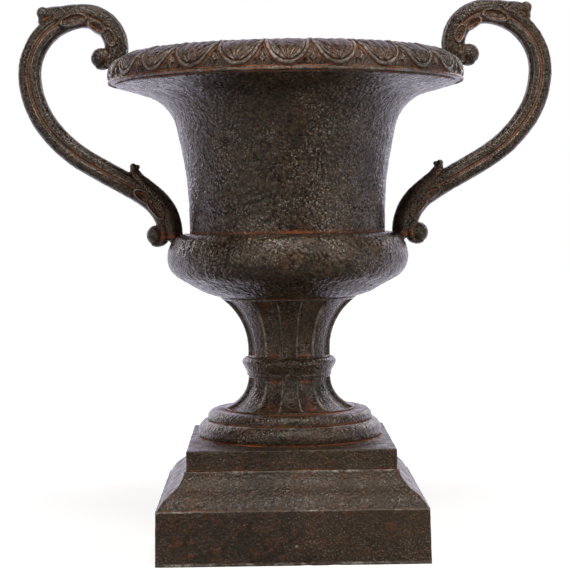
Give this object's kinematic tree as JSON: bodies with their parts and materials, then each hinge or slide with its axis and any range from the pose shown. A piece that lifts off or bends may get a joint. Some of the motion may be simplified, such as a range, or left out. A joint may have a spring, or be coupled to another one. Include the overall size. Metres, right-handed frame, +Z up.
{
  "type": "urn vase",
  "caption": "Garden urn of campana shape with a moulded rim, two scrolled side handles and a fluted stem on a square plinth; holds plants.",
  "frame": {"origin": "on the ground, at the centre of the plinth's base", "axes": "+Z up along the urn's axis; X runs through both handles; Y runs front to back, the front at -Y"},
  "size_m": [0.4974, 0.3312, 0.5032],
  "materials": {
    "cast_iron": "dark brown-black weathered casting with rust in the hollows",
    "fasteners": "dull steel with light rust"
  },
  "bodies": {
    "root": {"plinth": "cast_iron", "step_block": "cast_iron", "foot_ring_lower": "cast_iron", "foot_ring_upper": "cast_iron", "lower_stem": "cast_iron", "knop": "cast_iron", "upper_stem": "cast_iron", "bowl": "cast_iron", "bell": "cast_iron", "rim": "cast_iron", "handle_left": "cast_iron", "handle_right": "cast_iron", "tie_rod": "fasteners", "tie_bridge": "fasteners", "tie_lower_washer": "fasteners", "tie_lower_nut": "fasteners", "tie_upper_washer": "fasteners", "tie_upper_nut": "fasteners", "bell_bolts": "fasteners", "bell_bolt_washers": "fasteners", "bell_bolt_nuts": "fasteners", "rim_screws": "fasteners", "handle_top_screws": "fasteners", "handle_top_washers": "fasteners", "handle_foot_screws": "fasteners", "handle_foot_washers": "fasteners"}
  },
  "joints": []
}
